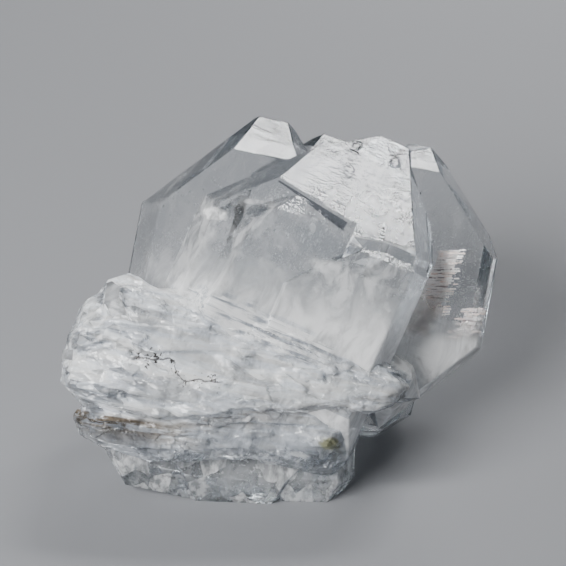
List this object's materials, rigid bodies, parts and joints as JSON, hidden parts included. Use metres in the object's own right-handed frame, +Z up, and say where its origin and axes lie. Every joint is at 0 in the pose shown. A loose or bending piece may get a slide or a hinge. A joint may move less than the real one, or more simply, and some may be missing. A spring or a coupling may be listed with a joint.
{
  "type": "faden quartz cluster",
  "caption": "Mineral specimen: clear tabular quartz crystals grown side by side out of a milky, layered root, resting on a flat cut face.",
  "frame": {"origin": "under the middle of the cluster, on the level that it rests on", "axes": "+Z up, +X to the right along the root, -Y towards the side that the crystals' broad faces look to"},
  "size_m": [0.0624, 0.0452, 0.0407],
  "materials": {
    "quartz": "natural quartz: clear, glassy crystal faces over a milky white, fibrous, broken root"
  },
  "bodies": {
    "root": {"quartz_cluster": "quartz"}
  },
  "joints": []
}
